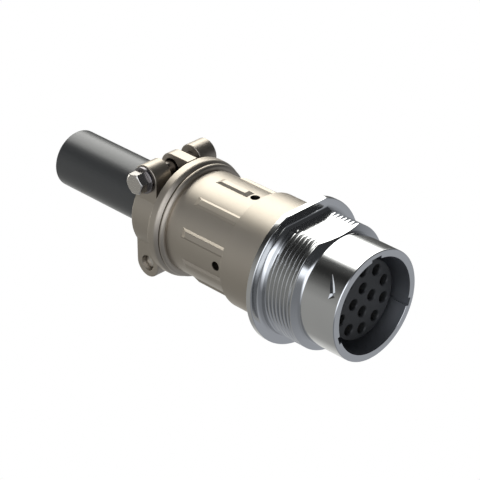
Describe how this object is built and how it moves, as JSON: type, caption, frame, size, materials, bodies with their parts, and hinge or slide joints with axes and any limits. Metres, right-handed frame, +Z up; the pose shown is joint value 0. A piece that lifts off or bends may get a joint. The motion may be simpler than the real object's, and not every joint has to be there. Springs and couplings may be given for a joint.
{
  "type": "circular multi-pin panel receptacle with cable clamp",
  "caption": "Round panel-mount cable connector: keyed socket shell on a flatted flange and thread, ribbed endbell and saddle strain relief holding a cut cable.",
  "frame": {"origin": "centre of the mating rim's face, at the mouth of the mating bore", "axes": "+X along the connector's axis towards the mating plug, +Z up through the middle of the flats, +Y completes a right-handed set"},
  "size_m": [0.1301, 0.0468, 0.0452],
  "materials": {
    "shell_metal": "bright satin plating, cool grey",
    "backshell_metal": "satin nickel plating, warm grey",
    "fastener_steel": "zinc plated",
    "contact_brass": "gold flash",
    "insert_polymer": "moulded, satin black",
    "seal_rubber": "matt",
    "cable_jacket": "matt dark grey jacket",
    "cable_filler": "matt",
    "wire_insulation": "extruded, smooth"
  },
  "bodies": {
    "root": {"receptacle_shell": "shell_metal", "front_insert": "insert_polymer", "rear_insert": "insert_polymer", "insert_retaining_ring": "fastener_steel", "socket_contacts": "contact_brass", "wire_grommet": "seal_rubber", "grommet_follower": "insert_polymer", "shell_seal_ring": "seal_rubber", "endbell": "backshell_metal", "gland_seal": "seal_rubber", "gland_washer": "fastener_steel", "clamp_body": "backshell_metal", "near_saddle": "backshell_metal", "far_saddle": "backshell_metal", "top_screw": "fastener_steel", "bottom_screw": "fastener_steel", "top_spring_washer": "fastener_steel", "bottom_spring_washer": "fastener_steel", "cable_jacket": "cable_jacket", "cable_filler": "cable_filler", "wires": "wire_insulation", "wire_ends": "contact_brass"}
  },
  "joints": []
}
